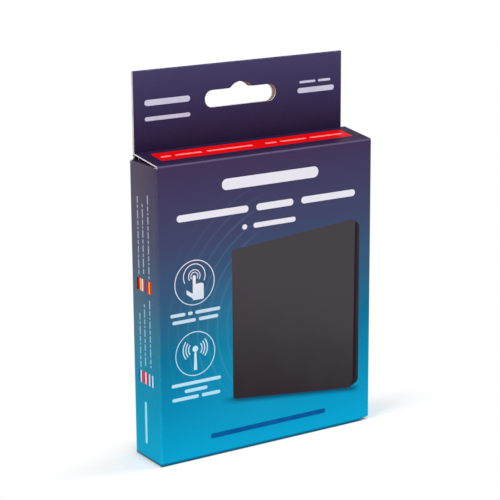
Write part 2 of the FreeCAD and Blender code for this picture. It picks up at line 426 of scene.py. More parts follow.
def printedBoard():
    look = boardPrint
    glow, paintedSheen, crease, grain = [look[name] for name in ("glow", "paintedSheen", "crease", "grain")]
    finish, shader, place = newFinish("printedBoard", look["specular"])
    x, y, z = splitAxes(place)
    front = nearFace(y, bodyLow.y, look["frontFrom"])
    left = nearFace(x, bodyLow.x, look["leftFrom"])
    glowSpread = ringSpread(x, z, glow["middle"], glow["reach"])
    sheenFront, sheenBack = paintedSheen["inset"]
    # how much painted sheen, from the front of the left side to the back
    sheenDepth = fade(y, bodyLow.y + sheenFront, bodyHigh.y - sheenBack, paintedSheen["frontPart"])
    specks = speckle(place, grain["spots"], detail=4.0)
    banded = ("paintedSheen", "tint", "corner", "foot")
    levels = {name: fade(z, *look[name]["heights"]) for name in banded}
    layers = {  # where each ink, painted sheen, highlight and shade lies, one over the other
        "glow": [front, fade(glowSpread, *glow["ends"])],
        "rings": [front, printRings(x, z)],
        "shadow": [front, printShadow(x, z)],
        "paintedSheen": [left, sheenDepth, levels["paintedSheen"]],
        "tint": [left, levels["tint"]],
        "corner": [left, nearFace(y, bodyLow.y, look["corner"]["from"]), levels["corner"]],
        "crease": [front, fade(z, *crease["start"]), fade(z, *crease["end"])],
        "foot": [levels["foot"]],
        "grain": [fade(specks, *grain["ends"])],
        "wear": [edgeWear(place, x, y, z)],
    }
    colour = printFade(place, x, z)
    for name, parts in layers.items():
        colour = mixColours(product(*parts, look[name]["share"]), colour, look[name]["ink"])
    gloss = speckle(place, look["glossSpots"], detail=5.0)
    swell = speckle(place, look["swellSpots"], detail=1.0)
    dress(shader, colour, gloss, calc("ADD", product(specks, look["grainRelief"]), swell), look)
    return finish


# painted shade in nooks, by how closed in a place is
nookShade = {
    "reach": 9.0,
    "ends": (0.42, 0.12),
    "below": (122.0, 118.0),
    "above": (2.0, 4.0),
    "share": 0.9,
    "ink": (20, 15, 13),
}


def addNookShade(colour, z):
    # painted shade: darkens bare board deep in the gaps between the flaps, below the tab's slot and above
    # the foot
    openness = newNode("ShaderNodeAmbientOcclusion", z)
    openness.inputs["Distance"].default_value = nookShade["reach"] * mm
    depth = fade(openness.outputs["AO"], *nookShade["ends"])
    share = product(depth, fade(z, *nookShade["below"]),
                    fade(z, *nookShade["above"]), nookShade["share"])
    return mixColours(share, colour, nookShade["ink"])


boardReverse = {
    "pale": (156, 134, 114),
    "deep": (116, 94, 77),
    "pulpSpots": 0.35,
    "fibreSpots": 3.0,
    "fibreShare": 0.4,
    "ends": (0.35, 0.65),
    "roughness": (0.75, 0.92),
    "bump": (0.04, 0.5),
    "specular": 0.1,
}


def bareReverse():
    look = boardReverse
    finish, shader, place = newFinish("bareReverse", look["specular"])
    pulp = speckle(place, look["pulpSpots"], detail=6.0)
    fibre = speckle(place, look["fibreSpots"], detail=5.0)
    mixed = blendSpeckle(pulp, fibre, look["fibreShare"])
    colour = mixColours(fade(mixed, *look["ends"]), look["deep"], look["pale"])
    dress(shader, addNookShade(colour, splitAxes(place)["Z"]), fibre, mixed, look)
    return finish


boardEdge = {
    "pale": (236, 230, 230),
    "deep": (208, 195, 188),
    "layerSpots": 2.2,
    "patchSpots": 0.15,
    "patchShare": 0.6,
    "ends": (0.55, 0.9),
    "footShade": {"heights": (2.6, 1.6), "share": 0.97, "ink": (14, 88, 118)},  # painted shade along the foot, where it stands on the floor
    "roughness": (0.7, 0.95),
    "bump": (0.03, 0.5),
    "specular": 0.1,
}


def cutEdge():
    look, footShade = boardEdge, boardEdge["footShade"]
    finish, shader, place = newFinish("cutEdge", look["specular"])
    z = splitAxes(place)["Z"]
    layers = speckle(place, look["layerSpots"], detail=5.0)
    patches = product(speckle(place, look["patchSpots"], detail=2.0), look["patchShare"])
    share = fade(calc("ADD", layers, patches), *look["ends"])
    colour = mixColours(share, look["deep"], look["pale"])
    # painted shade low on the cut edges, where the carton stands
    footShaded = product(fade(z, *footShade["heights"]), footShade["share"])
    colour = mixColours(footShaded, colour, footShade["ink"])
    dress(shader, addNookShade(colour, z), layers, layers, look)
    return finish


boardFinishes = [printedBoard(), bareReverse(), cutEdge()]
print("board finishes ready")


# Sleeve: one sheet folded round the carton, with dust flaps, glue flap and fold-over hang tab

sleeve = {
    "wide": bodyHigh.x - skin,  # half the width
    "deep": bodyHigh.y - skin,  # half the depth
    "foot": bodyLow.z + 0.02,
    "top": 112.5 - skin,
    "cornerRound": 1.2,
    "glueWide": 12.0,
    "glueRound": 0.5,
    "glueSteps": 4,
    "glueBand": 0.2,  # half the depth that is cut to the flap's ends
    "glueEnds": (3.55, 109.75),
    "glueTaper": 4.0,
    "frontEnds": (1.3, 111.95),  # the lids start here
    "frontHalf": lidHalf + 0.04,
    "shoulder": lidHalf - 2.2,  # half the width of a tuck flap
    "bendEnds": (-8.3, 8.3),  # the dust flaps' bends run between these places
    "dustRound": 0.75,
    "dustTurn": 94.0,
    "dustSteps": 5,
    "dustTip": 31.5,
    "dustFoot": 3.5,  # a line across the flap lies this far from its bend
    "dustRows": (-3.5, 1.5, 6.33),
    "dustBand": 3.0,  # that line is looked for this near to the level of the bend
    "dustSlack": 0.5,
    "topDust": (111.7, 6.7, 0.025),  # level of the bend, the flap's back end and its slope under the lid
    "baseDust": (1.4, 6.33, 0.0),
    "cornerSteps": 6,
    "cornerLift": (0.08, 0.62),  # foot of a corner strip at the front and at the side
    "tabHalf": 45.8,
    "tabTop": bodyHigh.z - skin,
    "tabFoot": 113.0,
    "tabFold": 0.52,
    "tabSteps": 6,
    "tabThick": 1.09,
}
creaseWaves = {
    "lines": 23,  # upright lines on each side of the middle, so that a crease can bend
    "step": 2.0,
    # place along the crease, half of the stretch and how far it is pulled up
    "top": [(-29.0, 4.5, -0.30), (-10.0, 4.5, 0.14), (9.8, 4.5, -0.26), (30.0, 4.5, 0.08)],
    "base": [(-20.0, 4.5, 0.06), (41.0, 4.5, 0.15), (46.6, 1.0, 1.5)],
    "reach": 3.6,
    "band": 0.5,
    "inset": 0.1,
}


def waveCrease(waves, level):
    # a scored line is never quite straight, so it is pulled up and down by a little
    for across, half, lift in waves:
        pick("VERT", lambda spot: abs(spot.x - across) < half
             and abs(spot.z - level) < creaseWaves["band"]
             and spot.y < creaseWaves["inset"] - sleeve["deep"])
        bpy.ops.transform.translate(
            value=inMetres(0, 0, lift), use_proportional_edit=True,
            proportional_edit_falloff="SMOOTH", proportional_size=creaseWaves["reach"] * mm)


def creaseGrid():
    for number in range(-creaseWaves["lines"], creaseWaves["lines"] + 1):
        pick("FACE", lambda spot: spot.y < sleeve["cornerRound"] - sleeve["deep"])
        bpy.ops.mesh.bisect(plane_co=inMetres(number * creaseWaves["step"], 0, 0), plane_no=(1, 0, 0))


def foldPanels():
    # the glue flap is the first panel, and the rest is folded on from its right edge
    wide, deep, low, high = sleeve["wide"], sleeve["deep"], sleeve["foot"], sleeve["top"]
    bend, steps, glueRound = sleeve["cornerRound"], sleeve["cornerSteps"], sleeve["glueRound"]
    glueFace, glueTip, glueRoot = glueFlapPlaces()
    piece = startSheet("cartonSleeve", ((glueTip + glueRoot) / 2, glueFace, (low + high) / 2),
                       (glueRoot - glueTip, high - low), (-90, 0, 0))
    pick("EDGE", lambda spot: spot.x > glueRoot - hair)
    foldRound((glueRoot, glueFace - glueRound, 0), (0, 0, 1), -90, sleeve["glueSteps"])
    extrudeBy(0, bend - deep - (glueFace - glueRound), 0)  # right side
    foldRound((wide - bend, bend - deep, 0), (0, 0, 1), -90, steps)
    extrudeBy(-2 * (wide - bend), 0, 0)  # front
    foldRound((bend - wide, bend - deep, 0), (0, 0, 1), -90, steps)
    extrudeBy(0, 2 * (deep - bend), 0)  # left side
    foldRound((bend - wide, deep - bend, 0), (0, 0, 1), -90, steps)
    extrudeBy(2 * wide - bend, 0, 0)  # back, up to its own cut edge
    return piece


def glueFlapPlaces():
    face = sleeve["deep"] - board["thick"] - skin
    tip = sleeve["wide"] - board["thick"] - sleeve["glueWide"]
    root = sleeve["wide"] - sleeve["glueRound"]
    return face, tip, root


def cutSheet():
    # takes away the board where the lids, the dust flaps and the glue flap leave room
    frontLow, frontHigh = sleeve["frontEnds"]
    topBend, baseBend = sleeve["topDust"][0], sleeve["baseDust"][0]
    bendFront, bendBack = sleeve["bendEnds"]
    for level in (frontLow, frontHigh, topBend, baseBend, *sleeve["glueEnds"]):
        cutAcross((0, 0, level), (0, 0, 1))
    for row in (bendFront, *sleeve["dustRows"], sleeve["topDust"][1], bendBack):
        cutAcross((0, row, 0), (0, 1, 0))
    for across in (sleeve["frontHalf"], sleeve["tabHalf"], sleeve["shoulder"]):
        cutBothSides(across)
    creaseGrid()
    glueFace, glueTip = glueFlapPlaces()[:2]
    glueLow, glueHigh = sleeve["glueEnds"]

    def cutAway(spot):
        atFront = spot.y < bendFront and abs(spot.x) < sleeve["frontHalf"]
        atSide = abs(spot.x) > sleeve["wide"] - hair and bendFront < spot.y < bendBack
        onGlue = abs(spot.y - glueFace) < sleeve["glueBand"] and spot.x > 0
        return (atFront and not frontLow < spot.z < frontHigh
                or atSide and not baseBend < spot.z < topBend
                or onGlue and not glueLow < spot.z < glueHigh)

    pick("FACE", cutAway)
    bpy.ops.mesh.delete(type="FACE")
    liftCorners()
    for end, taper in ((glueLow, sleeve["glueTaper"]), (glueHigh, -sleeve["glueTaper"])):
        pick("VERT", lambda spot: abs(spot.x - glueTip) < hair and abs(spot.z - end) < hair)
        moveBy(0, 0, taper)


def liftCorners():
    # the corner strips end a little above the floor, more so at the side, where the flaps are cut free
    low, high = sleeve["cornerLift"]
    bend, steps = sleeve["cornerRound"], sleeve["cornerSteps"]
    rows = [bend - sleeve["deep"] - bend * math.cos(math.pi / 2 * step / steps) for step in range(steps)]
    for step, row in enumerate(rows):
        pick("VERT", lambda spot: spot.z < sleeve["foot"] + hair and abs(spot.y - row) < hair)
        moveBy(0, 0, low + (high - low) * step / steps)
    pick("VERT", lambda spot: spot.z < sleeve["foot"] + hair
         and bend - sleeve["deep"] - hair < spot.y < sleeve["deep"] - hair)
    moveBy(0, 0, high)


def foldDustFlaps():
    bendFront, bendBack = sleeve["bendEnds"]
    past = math.radians(sleeve["dustTurn"] - 90)
    bend, tip, foot, slack = [sleeve[name] for name in ("dustRound", "dustTip", "dustFoot", "dustSlack")]
    centre = sleeve["wide"] - bend
    run = centre - tip + bend * math.sin(past)
    for (level, back, spring), upward in ((sleeve["topDust"], 1), (sleeve["baseDust"], -1)):
        for hand in (-1, 1):
            pick("EDGE", lambda spot: abs(spot.z - level) < hair and bendFront < spot.y < bendBack
                 and abs(spot.x - hand * sleeve["wide"]) < hair)
            foldRound((hand * centre, 0, level), (0, 1, 0), -hand * upward * sleeve["dustTurn"],
                      sleeve["dustSteps"])
            pick("EDGE", lambda spot: spot.y < back, among=True)
            for length in (foot, run - foot):
                extrudeBy(-hand * length, 0, -upward * length * math.tan(past))
            for row in (*sleeve["dustRows"], back):  # springs up next to the bend, towards the back
                pick("VERT", lambda spot: abs(hand * spot.x - centre + foot) < slack
                     and abs(spot.z - level) < sleeve["dustBand"] and abs(spot.y - row) < hair)
                moveBy(0, 0, spring * (row - bendFront))


def foldHangTab():
    # up from the back panel, over and down as a second layer
    deep, fold, tabTop, steps = [sleeve[name] for name in ("deep", "tabFold", "tabTop", "tabSteps")]
    pick("EDGE", lambda spot: abs(spot.z - sleeve["top"]) < hair and spot.y > deep - hair
         and abs(spot.x) < sleeve["tabHalf"])
    extrudeBy(0, 0, tabTop - fold - sleeve["top"])
    foldRound((0, deep - fold, tabTop - fold), (1, 0, 0), 90, steps)
    extrudeBy(0, 2 * fold - sleeve["tabThick"], 0)
    foldRound((0, deep - sleeve["tabThick"] + fold, tabTop - fold), (1, 0, 0), 90, steps)
    extrudeBy(0, 0, sleeve["tabFoot"] - tabTop + fold)


def finishBoard(piece):
    selectAll()
    bpy.ops.mesh.remove_doubles(threshold=board["weld"] * mm)
    for finish in boardFinishes:
        piece.data.materials.append(finish)
    thicken(piece, board["thick"], 1, 2)


hangSlot = {
    "wide": 31.2,
    "high": 6.4,
    "level": 131.5,
    "endRound": 3.1,
    "peakRise": 2.25,
    "peakFoot": 4.7,  # halves of the raised middle, at its foot and its top
    "peakHalf": 2.4,
    "peakTrim": 2.1,
    "footTrim": 0.6,
    "slip": -1.15,  # the back layer's slot lies this far to the left of the front layer's
    "punchRun": 4.0,
}


def slotCutter(across, start, end):
    # a block in the slot's outline, from one depth to another
    high = hangSlot["level"] + hangSlot["high"] / 2
    foot, half = hangSlot["peakFoot"], hangSlot["wide"] / 2
    cutter = startSheet("slotCutter", (0, start, hangSlot["level"]),
                        (hangSlot["wide"], hangSlot["high"]), (90, 0, 0))
    cutBothSides(foot)
    pick("EDGE", lambda spot: abs(spot.x) < hair and spot.z > high - hair)
    extrudeBy(0, 0, hangSlot["peakRise"])
    narrowing = hangSlot["peakHalf"] / foot
    bpy.ops.transform.resize(value=(narrowing, 1, 1), center_override=inMetres(0, start, high))
    mergeFlat()
    for wanted, trim in (
            (lambda spot: abs(spot.x) > half - hair, hangSlot["endRound"]),
            (lambda spot: spot.z > high + hangSlot["peakRise"] / 2, hangSlot["peakTrim"]),
            (lambda spot: abs(abs(spot.x) - foot) < hair, hangSlot["footTrim"])):
        pick("VERT", wanted)
        roundCorners(trim, segments=8)
    selectAll()
    moveBy(across, 0, 0)
    extrudeBy(0, end - start, 0)
    selectAll()
    bpy.ops.mesh.normals_make_consistent(inside=False)
    bpy.ops.object.mode_set(mode="OBJECT")
    cutter.data.materials.append(boardFinishes[2])
    return cutter


def punchHangSlot(piece):
    # once through each layer of the tab
    between, run = sleeve["deep"] - sleeve["tabThick"] / 2, hangSlot["punchRun"]
    for across, start, end in ((0, between - run, between), (hangSlot["slip"], between, between + run)):
        cutter = slotCutter(across, start, end)
        deselectAll()
        bpy.context.view_layer.objects.active = piece
        piece.select_set(True)
        bpy.ops.object.modifier_add(type="BOOLEAN")
        punch = piece.modifiers[-1]
        punch.object = cutter
        punch.operation = "DIFFERENCE"
        punch.solver = "EXACT"
        punch.material_mode = "TRANSFER"
        bpy.ops.object.modifier_apply(modifier=punch.name)
        bpy.data.objects.remove(cutter)
    bpy.ops.object.shade_smooth_by_angle(angle=math.radians(smoothAngle))


cartonSleeve = foldPanels()
cutSheet()
foldDustFlaps()
foldHangTab()
waveCrease(creaseWaves["top"], sleeve["frontEnds"][1])
waveCrease(creaseWaves["base"], sleeve["frontEnds"][0])
finishBoard(cartonSleeve)
punchHangSlot(cartonSleeve)
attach(cartonSleeve, "carton")
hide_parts("carton_body")
print("sleeve folded:", len(cartonSleeve.data.polygons), "faces")


# Lids: a panel on a crease of the front panel, with a tuck flap beyond it

lids = {
    "top": {"hinge": hinges["top_lid_hinge"], "from": sleeve["frontEnds"][1],
            "reach": 17.4, "tilt": 7.0, "upward": 1},
    "base": {"hinge": hinges["base_lid_hinge"], "from": sleeve["frontEnds"][0],
             "reach": 17.65, "tilt": 0.0, "upward": -1},
    "runs": (0.04, 0.08, 0.13, 0.75),  # shares of the panel, short ones first, where the crease bends
    "foldRound": 0.9,
    "foldTurn": 115.0,
    "foldSteps": 6,
    "tuckRun": 10.95,
    "tuckHalf": sleeve["shoulder"],
    "tuckCorner": 5.0,
    "bendBack": 1.1,  # a stretch along the crease
    "bendRise": 0.3,
}


def lidWays(lid):
    # along the panel towards the back, and out of its printed face
    tilt = math.radians(lid["tilt"])
    along = Vector((0, math.cos(tilt), lid["upward"] * math.sin(tilt)))
    outward = Vector((0, -math.sin(tilt), lid["upward"] * math.cos(tilt)))
    return along, outward


def foldLid(name, lid, waves):
    hinge, start, upward = lid["hinge"], lid["from"], lid["upward"]
    along, outward = lidWays(lid)
    crease = sleeve["deep"] + hinge.y
    piece = startSheet(name, (0, -sleeve["deep"], (start + hinge.z) / 2),
                       (2 * lidHalf, abs(hinge.z - start)), (90, 0, 0))
    creaseGrid()
    for across in (lids["tuckHalf"], sleeve["tabHalf"]):  # the lines that the sleeve has here too
        cutBothSides(across)
    pick("EDGE", lambda spot: abs(spot.z - hinge.z) < hair)
    foldRound(hinge, (1, 0, 0), -upward * (90 - lid["tilt"]), lids["foldSteps"])
    straight = lid["reach"] - lids["foldRound"]
    for share in lids["runs"]:
        extrudeBy(*(along * straight * share))
    foldRound(hinge + along * straight + outward * (crease - lids["foldRound"]), (1, 0, 0),
              -upward * lids["foldTurn"], lids["foldSteps"])
    pick("EDGE", lambda spot: abs(spot.x) < lids["tuckHalf"], among=True)
    slant = math.radians(upward * (lid["tilt"] - lids["foldTurn"]))
    extrudeBy(0, lids["tuckRun"] * math.cos(slant), lids["tuckRun"] * math.sin(slant))
    pick("VERT", lambda spot: abs(spot.x) > lids["tuckHalf"] - hair, among=True)
    roundCorners(lids["tuckCorner"], segments=8)
    waveCrease(waves, start)
    finishBoard(piece)
    bpy.ops.object.shade_smooth_by_angle(angle=math.radians(smoothAngle))
    return piece


def hangLid(piece, body):
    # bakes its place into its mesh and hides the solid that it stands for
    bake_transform(piece)
    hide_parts(body)


topLid = foldLid("topLid", lids["top"], creaseWaves["top"])
hangLid(topLid, "top_lid")
baseLid = foldLid("baseLid", lids["base"], creaseWaves["base"])
hangLid(baseLid, "base_lid")
print("lids folded:", len(topLid.data.polygons), "and", len(baseLid.data.polygons), "faces")


# Ink: flat shapes drawn on a panel, a hair thick

lidOutward = lidWays(lids["top"])[1]
lidFace = lids["top"]["hinge"] + lidOutward * (sleeve["deep"] + lids["top"]["hinge"].y)
panels = {  # where a drawing is laid, how it is turned and what carries it
    "front": ((0, -sleeve["deep"], 0), (90, 0, 0), "carton"),
    "left": ((-sleeve["wide"], 0, 0), (90, 0, -90), "carton"),
    "tab": ((0, sleeve["deep"] - sleeve["tabThick"], 0), (90, 0, 0), "carton"),
    "lid": (tuple(lidFace), (lids["top"]["tilt"], 0, 0), "top_lid"),
}
inkLook = {
    "cloudSpots": 0.35,
    "grainSpots": 3.0,
    "grainShare": 0.3,
    "ends": (0.35, 0.65),
    "roughness": (0.31, 0.43),
    "bump": (0.02, 0.2),
}


def inkFinish(name, colour, shade):
    # ink lies unevenly, so it wanders between two colours and lets the board's grain through
    finish, shader, place = newFinish(name, boardPrint["specular"])
    cloud = speckle(place, inkLook["cloudSpots"], detail=4.0)
    grain = speckle(place, inkLook["grainSpots"], detail=4.0)
    share = fade(blendSpeckle(cloud, grain, inkLook["grainShare"]), *inkLook["ends"])
    dress(shader, mixColours(share, shade, colour), cloud, grain, inkLook)
    return finish


fadingLook = {
    "patchSpots": 0.5,
    "thin": {"ends": (0.35, 0.7), "share": 0.07, "ink": (120, 130, 165)},
    "roughness": (0.32, 0.44),
    "bump": inkLook["bump"],
}


def fadingInk(name, stops, mottle):
    # takes on some of the fade that it is printed on, by height
    thin = fadingLook["thin"]
    finish, shader, place = newFinish(name, boardPrint["specular"])
    patches = speckle(place, fadingLook["patchSpots"], detail=4.0)
    grain = speckle(place, inkLook["grainSpots"], detail=4.0)
    colour = gradient(calc("ADD", splitAxes(place)["Z"], wander(patches, mottle)), stops)
    share = product(fade(grain, *thin["ends"]), thin["share"])
    dress(shader, mixColours(share, colour, thin["ink"]), patches, grain, fadingLook)
    return finish


frontWhite = {
    "mottle": 8.0,
    "stops": [
        (0.0, (178, 226, 246)),
        (26.0, (180, 228, 247)),
        (44.0, (200, 231, 245)),
        (58.0, (198, 218, 236)),
        (68.0, (234, 232, 239)),
        (105.0, (232, 229, 238)),
    ],
}
whiteInk = fadingInk("whiteInk", frontWhite["stops"], frontWhite["mottle"])
paleInk = inkFinish("paleInk", (208, 204, 226), (200, 195, 219))
pinkInk = inkFinish("pinkInk", (252, 148, 146), (244, 128, 126))
redInk = inkFinish("redInk", (225, 10, 13), (215, 8, 11))
blueInk = inkFinish("blueInk", (12, 92, 158), (6, 82, 148))


def startDrawing(name, *finishes):
    deselectAll()
    bpy.ops.object.add(type="MESH")
    piece = namePiece(name)
    for finish in finishes:
        piece.data.materials.append(finish)
    bpy.ops.object.mode_set(mode="EDIT")
    return piece


def layAside(ink=0):
    # gives the shape in hand its ink and hides it while the next one is drawn
    selectAll()
    bpy.context.object.active_material_index = ink
    bpy.ops.object.material_slot_assign()
    bpy.ops.mesh.hide(unselected=False)


def drawField(left, low, right, high):
    place = inMetres((left + right) / 2, (low + high) / 2, 0)
    bpy.ops.mesh.primitive_plane_add(size=1, location=place)
    bpy.ops.transform.resize(value=((right - left) * mm, (high - low) * mm, 1), center_override=place)


def drawBar(left, right, level, high, ink=0, corner=0.48):
    drawField(left, level - high / 2, right, level + high / 2)
    bpy.ops.mesh.select_mode(type="VERT")
    selectAll()
    roundCorners(min(high, right - left) * corner)
    layAside(ink)


def drawRing(middle, radius, band, sides=72):
    bpy.ops.mesh.select_mode(type="FACE")
    bpy.ops.mesh.primitive_circle_add(vertices=sides, radius=radius * mm, fill_type="NGON",
                                      location=inMetres(*middle, 0))
    bpy.ops.mesh.inset(thickness=band * mm)
    bpy.ops.mesh.delete(type="FACE")


def drawArc(middle, radius, band, heading, spread):
    # what is left of a ring within the spread, after two cuts from its middle
    drawRing(middle, radius, band, sides=64)
    for way in (-1, 1):
        edge = math.radians(heading + way * spread / 2)
        cutAcross((*middle, 0), (-math.sin(edge), math.cos(edge), 0))
    towards = Vector((math.cos(math.radians(heading)), math.sin(math.radians(heading)), 0))
    centre = Vector((*middle, 0))
    pick("FACE", lambda spot: math.degrees((spot - centre).angle(towards)) > spread / 2)
    bpy.ops.mesh.delete(type="FACE")
    layAside()


def layOn(piece, panel, raised=1.0):
    # thickens the drawing and lays it on its panel
    place, turn, body = panels[panel]
    bpy.ops.mesh.reveal(select=True)
    selectAll()
    height = board["inkThick"] * raised
    moveBy(0, 0, height)
    thicken(piece, height + board["inkSunk"])
    piece.location = inMetres(*place)
    piece.rotation_euler = inRadians(turn)
    bpy.ops.object.transform_apply(location=True, rotation=True, scale=True)
    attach(piece, body)


# Plain bars stand where the carton has words

barDrawings = {  # ink, panel, slot, and rows by level, height and the stretches across
    "headingBars": (whiteInk, "front", "white_ink", [
        (103.2, 4.2, [(-20.0, 22.5)]),
        (93.0, 2.6, [(-39.2, -8.7), (-5.2, 11.2), (14.8, 39.5)]),
        (86.3, 1.9, [(-11.4, -9.3), (-6.5, 12.2)]),
    ]),
    "captionBars": (whiteInk, "front", "white_ink", [
        (57.2, 1.3, [(-42.5, -36.2), (-35.1, -33.1), (-32.0, -21.3)]),
        (54.5, 1.3, [(-41.7, -31.8), (-30.5, -22.2)]),
        (30.5, 1.3, [(-42.5, -21.3)]),
        (27.7, 1.3, [(-37.0, -27.2)]),
        (25.0, 1.3, [(-42.3, -31.0), (-29.7, -21.7)]),
    ]),
    "footBar": (blueInk, "front", "dark_ink", [(8.0, 1.9, [(-26.0, 26.2)])]),
    "tabBars": (paleInk, "tab", "white_ink", [
        (132.6, 2.2, [(-41.1, -22.0)]),
        (126.7, 1.5, [(-41.1, -22.0)]),
        (134.0, 0.9, [(26.4, 33.7), (35.0, 40.7)]),
        (130.8, 2.0, [(25.5, 42.4)]),
    ]),
}


def drawRows(rows):
    for level, high, stretches in rows:
        for left, right in stretches:
            drawBar(left, right, level, high)


for name, (ink, panel, slot, rows) in barDrawings.items():
    bars = startDrawing(name, ink)
    drawRows(rows)
    layOn(bars, panel)
print("bars drawn on the front and the tab")


# Two ringed pictograms: a pressing hand and a sending mast

pressSign = {
    "middle": (-32.1, 68.5),
    "radius": 8.5,
    "line": 0.33,
    "tip": (-32.2, 70.9),
    "rippleLine": 0.32,
    "ripples": [(1.65, 262), (2.6, 250), (4.75, 236)],  # radius and how far round
    "palm": (-32.9, 61.9, -28.3, 67.7),
    "fingerWide": 1.3,
    "fingerTop": 71.3,
    "knuckles": 3,
    "knuckleRise": 0.35,
    "thumb": (-2.7, 1.9),
    "thumbFrom": (62.6, 64.3),
    "corner": 0.5,
}
mastSign = {
    "middle": (-32.2, 41.5),
    "radius": 8.5,
    "line": 0.33,
    "ball": (-32.2, 43.3),
    "ballRadius": 1.2,
    "waves": [3.1, 4.25, 5.4],
    "waveLine": 0.45,
    "waveSpread": 80,
    "mastGap": 0.1,
    "mastFoot": 35.2,
    "mastHalf": (0.42, 0.72),  # halves of its width at the top and the foot
}


def startSign(name, sign):
    piece = startDrawing(name, whiteInk)
    drawRing(sign["middle"], sign["radius"], sign["line"])
    layAside()
    return piece


def drawPressSign():
    sign = pressSign
    piece = startSign("pressSign", sign)
    for radius, spread in sign["ripples"]:
        drawArc(sign["tip"], radius, sign["rippleLine"], 90, spread)
    left, low, right, high = sign["palm"]
    finger = left + sign["fingerWide"]
    drawField(left, low, right, high)
    cutAcross((finger, 0, 0), (1, 0, 0))
    for level in sign["thumbFrom"]:
        cutAcross((0, level, 0), (0, 1, 0))
    pick("EDGE", lambda spot: spot.y > high - hair and spot.x < finger)
    extrudeBy(0, sign["fingerTop"] - high, 0)
    for number in range(1, sign["knuckles"]):
        cutAcross((finger + (right - finger) * number / sign["knuckles"], 0, 0), (1, 0, 0))
    pick("VERT", lambda spot: abs(spot.y - high) < hair and finger + hair < spot.x < right - hair)
    moveBy(0, sign["knuckleRise"], 0)
    thumbLow, thumbHigh = sign["thumbFrom"]
    pick("EDGE", lambda spot: spot.x < left + hair and thumbLow < spot.y < thumbHigh)
    extrudeBy(*sign["thumb"], 0)
    mergeFlat()
    bpy.ops.mesh.select_mode(type="VERT")
    selectAll()
    roundCorners(sign["corner"], segments=4)
    layAside()
    layOn(piece, "front")


def drawMastSign():
    sign = mastSign
    piece = startSign("mastSign", sign)
    for radius in sign["waves"]:
        for heading in (0, 180):
            drawArc(sign["ball"], radius, sign["waveLine"], heading, sign["waveSpread"])
    across, level = sign["ball"]
    bpy.ops.mesh.primitive_circle_add(vertices=32, radius=sign["ballRadius"] * mm, fill_type="NGON",
                                      location=inMetres(across, level, 0))
    layAside()
    upper, lower = sign["mastHalf"]
    mastTop = level - sign["ballRadius"] - sign["mastGap"]
    drawField(across - lower, sign["mastFoot"], across + lower, mastTop)
    pick("VERT", lambda spot: spot.y > mastTop - hair)
    bpy.ops.transform.resize(value=(upper / lower, 1, 1), center_override=inMetres(across, level, 0))
    layAside()
    layOn(piece, "front")


drawPressSign()
drawMastSign()
print("pictograms drawn")


# Picture of a dark wall plate, with its right flank

plateFlank = {
    "corners": [(37.8, 82.5), (41.8, 80.6), (41.8, 17.2), (37.2, 15.1)],
    "rounds": [0.3, 1.2, 1.0, 0.3],
    "raised": 0.5,
    "finish": "flankInk",
    "inks": [(34, 30, 35), (58, 53, 58)],
    "way": (1.0, 0.0),  # the fade runs this way, between these ends
    "ends": (39.6, 42.2),
}
plateFace = {
    "corners": [(-16.0, 78.3), (39.7, 82.75), (39.1, 14.85), (-16.0, 20.8)],
    "rounds": [0.6, 1.8, 3.4, 0.9],
    "raised": 1.0,
    "finish": "plateInk",
    "inks": [(47, 40, 45), (71, 66, 70)],
    "way": (0.35, 1.0),
    "ends": (8.0, 66.0),
}
plateLook = {
    "mottleSpots": 0.08,
    "mottleShare": 0.25,
    "glossSpots": 0.4,
    "grainSpots": 2.5,
    "roughness": (0.33, 0.45),
    "bump": inkLook["bump"],
}


def plateFinish(part):
    # one slow fade with a little mottle
    look = plateLook
    start, end = part["ends"]
    finish, shader, place = newFinish(part["finish"], boardPrint["specular"])
    axes = splitAxes(place)
    run = calc("ADD", *[product(axes[axis], share) for axis, share in zip("XZ", part["way"])])
    drift = wander(speckle(place, look["mottleSpots"]), look["mottleShare"] * (end - start))
    colour = mixColours(fade(calc("ADD", run, drift), start, end), *part["inks"])
    gloss, grain = [speckle(place, look[spots], detail=4.0) for spots in ("glossSpots", "grainSpots")]
    dress(shader, colour, gloss, grain, look)
    return finish


def drawQuad(corners, rounds):
    drawField(-1, -1, 1, 1)
    spots = [(-1, 1), (1, 1), (1, -1), (-1, -1)]
    for (fromX, fromY), (toX, toY) in zip(spots, corners):
        pick("VERT", lambda spot: abs(spot.x - fromX) < hair and abs(spot.y - fromY) < hair)
        moveBy(toX - fromX, toY - fromY, 0)
    for (toX, toY), roundness in zip(corners, rounds):
        pick("VERT", lambda spot: abs(spot.x - toX) < hair and abs(spot.y - toY) < hair)
        roundCorners(roundness)
    layAside()


for name, part in (("plateFlank", plateFlank), ("plateFace", plateFace)):
    piece = startDrawing(name, plateFinish(part))
    drawQuad(part["corners"], part["rounds"])
    layOn(piece, "front", part["raised"])
print("plate picture drawn")


# Red strip with plain bars on the top lid

lidStrip = {
    "ends": (-41.6, 42.2),
    "run": (4.9, 13.6),  # how far behind the crease
    "corner": 0.03,
    "raised": 0.5,
    "barLevel": 9.0,
    "barHigh": 1.3,
    "bars": [(-39.9, -35.6), (-33.9, -22.6), (-20.5, -0.6), (5.0, 10.0), (11.6, 23.4), (25.1, 40.0)],
}
strip = startDrawing("lidStrip", redInk)
stripLow, stripHigh = lidStrip["run"]
drawBar(*lidStrip["ends"], (stripLow + stripHigh) / 2, stripHigh - stripLow, 0, lidStrip["corner"])
layOn(strip, "lid", lidStrip["raised"])
stripBars = startDrawing("lidStripBars", pinkInk)
drawRows([(lidStrip["barLevel"], lidStrip["barHigh"], lidStrip["bars"])])
layOn(stripBars, "lid")
print("lid strip drawn")


# Left side: three columns of fine bars under small striped fields, and a blank mark at the foot

